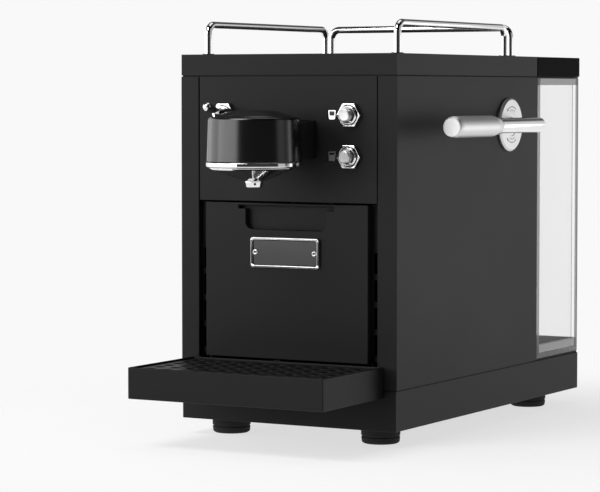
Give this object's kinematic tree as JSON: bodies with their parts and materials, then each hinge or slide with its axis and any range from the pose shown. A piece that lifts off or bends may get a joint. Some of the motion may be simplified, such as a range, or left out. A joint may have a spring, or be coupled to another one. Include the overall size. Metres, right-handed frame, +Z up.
{
  "type": "pod coffee machine",
  "caption": "Lever-operated pod coffee machine: steel casing, drip tray, used-pod drawer, cup rails and lift-off clear rear water tank.",
  "frame": {"origin": "bottom centre of the whole object's bounding box, on the surface that the feet stand on", "axes": "+Z up, the front with the drip tray faces -Y, the brewing lever is on the +X side; the casing's own middle plane is at x = -0.015125"},
  "size_m": [0.1952, 0.3818, 0.2815],
  "materials": {
    "black_steel": "fine satin powder coat, black",
    "satin_black": "smooth satin black lacquer",
    "chrome": "polished chrome plate",
    "brushed_steel": "fine brushed satin steel",
    "cast_aluminium": "as-cast aluminium",
    "black_rubber": "matt black rubber",
    "black_plastic": "moulded black plastic",
    "clear_plastic": "clear moulded plastic",
    "lit_window": "lit pictogram window",
    "unlit_window": "unlit pictogram window",
    "board_green": "solder-masked circuit board",
    "hose_white": "food-grade silicone hose"
  },
  "bodies": {
    "casing": {"base_pan": "black_steel", "mains_inlet": "black_plastic", "foot_front_left": "black_rubber", "foot_rear_left": "black_rubber", "foot_front_right": "black_rubber", "foot_rear_right": "black_rubber", "left_side_panel": "black_steel", "right_side_panel": "black_steel", "front_panel": "black_steel", "left_hook_strip": "black_steel", "right_hook_strip": "black_steel", "top_lid": "black_steel", "left_cup_rail": "chrome", "right_cup_rail": "chrome", "rear_cup_rail": "chrome", "rear_bulkhead": "black_steel", "tank_dock": "black_plastic", "drawer_shelf": "black_steel", "head_neck": "black_steel", "head_cap": "satin_black", "head_rim": "chrome", "head_funnel": "chrome", "spout": "chrome", "lower_button_body": "chrome", "lower_button_nut": "chrome", "lower_button_light": "unlit_window", "upper_button_body": "chrome", "upper_button_nut": "chrome", "upper_button_light": "lit_window", "toggle_bushing": "chrome", "toggle_nut": "chrome", "lever_plate": "brushed_steel", "brew_frame": "brushed_steel", "pierce_plate": "brushed_steel", "capsule_chute": "black_plastic", "rod_guide": "black_plastic", "thermoblock": "cast_aluminium", "pump": "black_plastic", "control_board": "board_green", "tank_hose": "hose_white", "pressure_hose": "hose_white", "brew_hose": "hose_white"},
    "brew_lever": {"lever_shaft": "brushed_steel", "lever_rod": "chrome", "lever_grip": "brushed_steel"},
    "plunger": {"plunger_cup": "cast_aluminium", "plunger_rod": "brushed_steel"},
    "power_toggle": {"toggle_lever": "chrome"},
    "lower_button": {"lower_button_cap": "brushed_steel"},
    "upper_button": {"upper_button_cap": "brushed_steel"},
    "capsule_drawer": {"drawer_front": "black_steel", "capsule_bin": "black_plastic", "badge_frame": "chrome", "badge_field": "satin_black"},
    "drip_tray": {"drip_tray": "black_steel"},
    "drip_grid": {"drip_grid": "black_steel"},
    "water_tank": {"water_tank": "clear_plastic", "tank_valve": "black_plastic"},
    "tank_lid": {"tank_lid": "black_steel"}
  },
  "joints": [
    {"name": "brew_lever_hinge", "type": "hinge", "parent": "casing", "child": "brew_lever", "pos_m": [-0.01512, 0.0632, 0.2103], "axis": [-1, 0, 0], "range_deg": [0, 84]},
    {"name": "plunger_slide", "type": "slide", "parent": "casing", "child": "plunger", "axis": [0, 1, 0], "range_m": [0, 0.0325]},
    {"name": "power_toggle_hinge", "type": "hinge", "parent": "casing", "child": "power_toggle", "pos_m": [-0.06273, -0.1096, 0.2183], "axis": [1, 0, 0], "range_deg": [0, 26]},
    {"name": "lower_button_press", "type": "slide", "parent": "casing", "child": "lower_button", "axis": [0, 1, 0], "range_m": [0, 0.002], "stiffness_N_per_m": 500},
    {"name": "upper_button_press", "type": "slide", "parent": "casing", "child": "upper_button", "axis": [0, 1, 0], "range_m": [0, 0.002], "stiffness_N_per_m": 500},
    {"name": "capsule_drawer_slide", "type": "slide", "parent": "casing", "child": "capsule_drawer", "axis": [0, -1, 0], "range_m": [0, 0.11]},
    {"name": "drip_tray_slide", "type": "slide", "parent": "casing", "child": "drip_tray", "axis": [0, -1, 0], "range_m": [0, 0.125]},
    {"name": "drip_grid_lift", "type": "slide", "parent": "drip_tray", "child": "drip_grid", "axis": [0, 0, 1], "range_m": [0, 0.06]},
    {"name": "water_tank_lift", "type": "slide", "parent": "casing", "child": "water_tank", "axis": [0, 0, 1], "range_m": [0, 0.1]},
    {"name": "tank_lid_lift", "type": "slide", "parent": "water_tank", "child": "tank_lid", "axis": [0, 0, 1], "range_m": [0, 0.06]}
  ],
  "couplings": [
    {"joint": "plunger_slide", "follows": "brew_lever_hinge", "m_per_rad": 0.021908}
  ]
}
